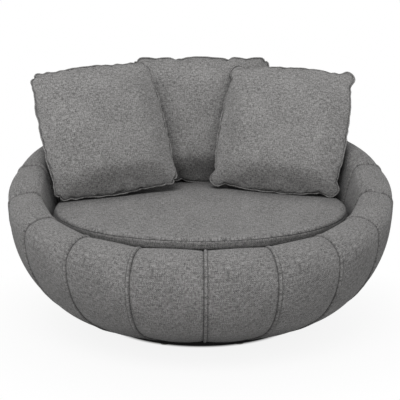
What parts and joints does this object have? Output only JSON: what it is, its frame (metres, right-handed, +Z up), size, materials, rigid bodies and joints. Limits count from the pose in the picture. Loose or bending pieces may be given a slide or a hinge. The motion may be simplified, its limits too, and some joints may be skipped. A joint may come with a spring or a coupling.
{
  "type": "round swivel cuddle chair",
  "caption": "Round swivel cuddle chair: a padded bowl of sewn gores, low in front and high behind, with a loose round seat cushion, loose scatter cushions and a hidden turning plinth.",
  "frame": {"origin": "on the floor, on the swivel axis, under the centre of the tub", "axes": "+Z up, the chair faces -Y, +X to the right as seen from the front"},
  "size_m": [1.358, 1.351, 0.9032],
  "materials": {
    "upholstery_fabric": "mid-grey heathered chenille weave",
    "foam": "open-cell upholstery foam",
    "cushion_fill": "fibre-filled inner pad",
    "zip": "coil zip on black tape",
    "plywood": "birch plywood, sanded",
    "black_stained_board": "black lacquered board",
    "black_edging": "black plastic edge band",
    "nylon": "moulded nylon",
    "steel_fastener": "zinc-plated steel",
    "zinc_plate": "pressed zinc-plated sheet",
    "bearing_steel": "polished bearing steel",
    "webbing": "woven elastic webbing",
    "felt": "needled felt",
    "deck_cloth": "black lining cloth",
    "dust_cloth": "black spun-bonded cloth"
  },
  "bodies": {
    "base": {"plinth_edging": "black_edging", "plinth_board": "black_stained_board", "floor_glides": "nylon", "glide_screws": "steel_fastener", "swivel_lower_plate": "zinc_plate", "lower_plate_screws": "steel_fastener", "centre_bolt": "steel_fastener", "thrust_washer": "nylon", "lock_nut": "steel_fastener"},
    "ball_cage": {"ball_cage": "nylon", "bearing_balls": "bearing_steel"},
    "tub": {"swivel_upper_plate": "zinc_plate", "upper_plate_screws": "steel_fastener", "tub_base_board": "plywood", "frame_ribs": "plywood", "spacer_rails": "plywood", "deck_ring": "plywood", "deck_webbing": "webbing", "deck_pad": "felt", "deck_cloth": "deck_cloth", "dust_cover": "dust_cloth", "tub_foam": "foam", "cover_panel_01": "upholstery_fabric", "cover_panel_02": "upholstery_fabric", "cover_panel_03": "upholstery_fabric", "cover_panel_04": "upholstery_fabric", "cover_panel_05": "upholstery_fabric", "cover_panel_06": "upholstery_fabric", "cover_panel_07": "upholstery_fabric", "cover_panel_08": "upholstery_fabric", "cover_panel_09": "upholstery_fabric", "cover_panel_10": "upholstery_fabric", "cover_panel_11": "upholstery_fabric", "cover_panel_12": "upholstery_fabric", "cover_panel_13": "upholstery_fabric", "cover_panel_14": "upholstery_fabric", "cover_panel_15": "upholstery_fabric", "cover_panel_16": "upholstery_fabric", "cover_panel_17": "upholstery_fabric", "cover_panel_18": "upholstery_fabric"},
    "seat_cushion": {"seat_cushion_foam": "foam", "seat_cushion_top": "upholstery_fabric", "seat_cushion_bottom": "upholstery_fabric", "seat_cushion_boxing": "upholstery_fabric", "seat_cushion_zip": "zip"},
    "left_cushion": {"left_cushion_front": "upholstery_fabric", "left_cushion_back": "upholstery_fabric", "left_cushion_filling": "cushion_fill", "left_cushion_piping": "upholstery_fabric", "left_cushion_zip": "zip"},
    "right_cushion": {"right_cushion_front": "upholstery_fabric", "right_cushion_back": "upholstery_fabric", "right_cushion_filling": "cushion_fill", "right_cushion_piping": "upholstery_fabric", "right_cushion_zip": "zip"},
    "middle_cushion": {"middle_cushion_front": "upholstery_fabric", "middle_cushion_back": "upholstery_fabric", "middle_cushion_filling": "cushion_fill", "middle_cushion_piping": "upholstery_fabric", "middle_cushion_zip": "zip"}
  },
  "joints": [
    {"name": "swivel", "type": "hinge", "parent": "base", "child": "tub", "pos_m": [0, 0, 0.026], "axis": [0, 0, 1], "continuous": true},
    {"name": "ball_cage_roll", "type": "hinge", "parent": "base", "child": "ball_cage", "pos_m": [0, 0, 0.026], "axis": [0, 0, 1], "continuous": true},
    {"name": "seat_cushion_lift", "type": "slide", "parent": "tub", "child": "seat_cushion", "axis": [0, 0, 1], "range_m": [0, 0.25]},
    {"name": "left_cushion_lift", "type": "slide", "parent": "seat_cushion", "child": "left_cushion", "axis": [0.2494, -0.449, 0.858], "range_m": [0, 0.22]},
    {"name": "right_cushion_lift", "type": "slide", "parent": "seat_cushion", "child": "right_cushion", "axis": [-0.2494, -0.449, 0.858], "range_m": [0, 0.22]},
    {"name": "middle_cushion_lift", "type": "slide", "parent": "seat_cushion", "child": "middle_cushion", "axis": [0, 0.2588, 0.9659], "range_m": [0, 0.2]}
  ],
  "couplings": [
    {"joint": "ball_cage_roll", "follows": "swivel", "ratio": 0.5}
  ]
}
